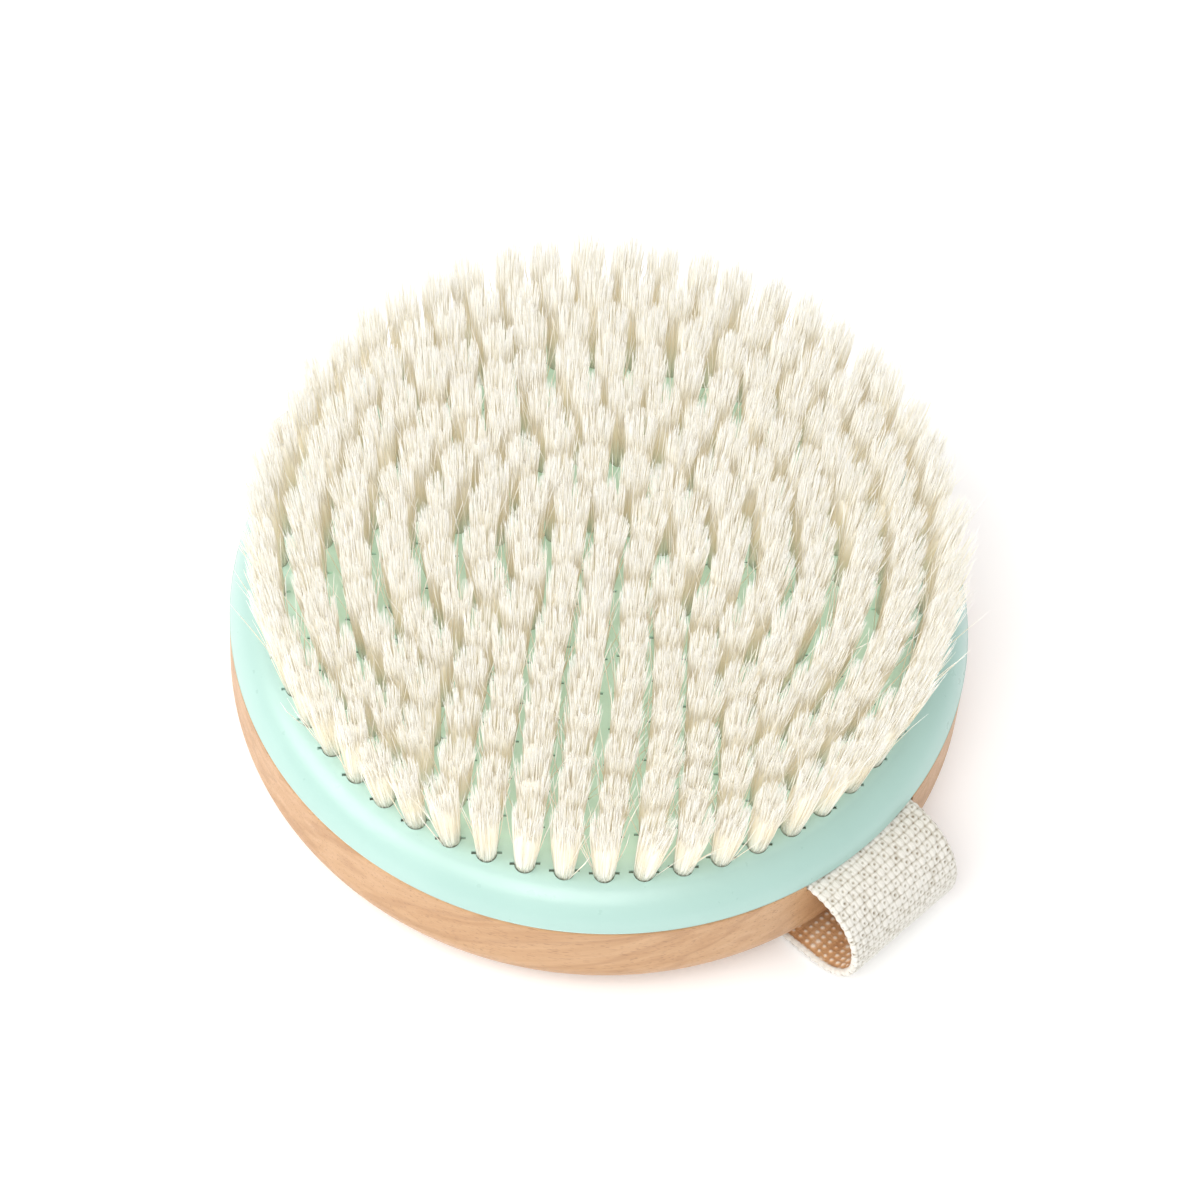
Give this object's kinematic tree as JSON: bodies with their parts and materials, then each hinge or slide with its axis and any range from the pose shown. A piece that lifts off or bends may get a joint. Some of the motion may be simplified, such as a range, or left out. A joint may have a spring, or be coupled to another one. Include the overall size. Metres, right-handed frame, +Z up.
{
  "type": "body dry brush",
  "caption": "Round body dry brush: painted bristle plate with rings of natural tufts on a wooden back, with a webbing hand strap.",
  "frame": {"origin": "centre of the strap's flat underside, which the brush rests on when it lies on its back", "axes": "+Z up through the tips of the bristles; +X along the hand strap, so its two side loops stand out along +X and, less far, along -X"},
  "size_m": [0.143, 0.125, 0.0508],
  "materials": {
    "mint_lacquer": "satin-gloss mint lacquer on turned wood",
    "beech_wood": "fine-sanded natural beech, thin matt oil",
    "wood_glue": "dried wood glue",
    "webbing": "coarse undyed cotton webbing, both faces open weave",
    "bristle": "bleached natural bristle, frayed tips",
    "steel_wire": "drawn steel wire"
  },
  "bodies": {
    "root": {"bristle_plate": "mint_lacquer", "back_block": "beech_wood", "glue_film": "wood_glue", "hand_strap": "webbing", "strap_staples_left": "steel_wire", "strap_staples_right": "steel_wire", "tuft_centre": "bristle", "tuft_ring_1": "bristle", "tuft_ring_2": "bristle", "tuft_ring_3": "bristle", "tuft_ring_4": "bristle", "tuft_ring_5": "bristle", "tuft_ring_6": "bristle", "tuft_ring_7": "bristle", "tuft_ring_8": "bristle", "anchor_centre": "steel_wire", "anchor_ring_1": "steel_wire", "anchor_ring_2": "steel_wire", "anchor_ring_3": "steel_wire", "anchor_ring_4": "steel_wire", "anchor_ring_5": "steel_wire", "anchor_ring_6": "steel_wire", "anchor_ring_7": "steel_wire", "anchor_ring_8": "steel_wire"}
  },
  "joints": []
}
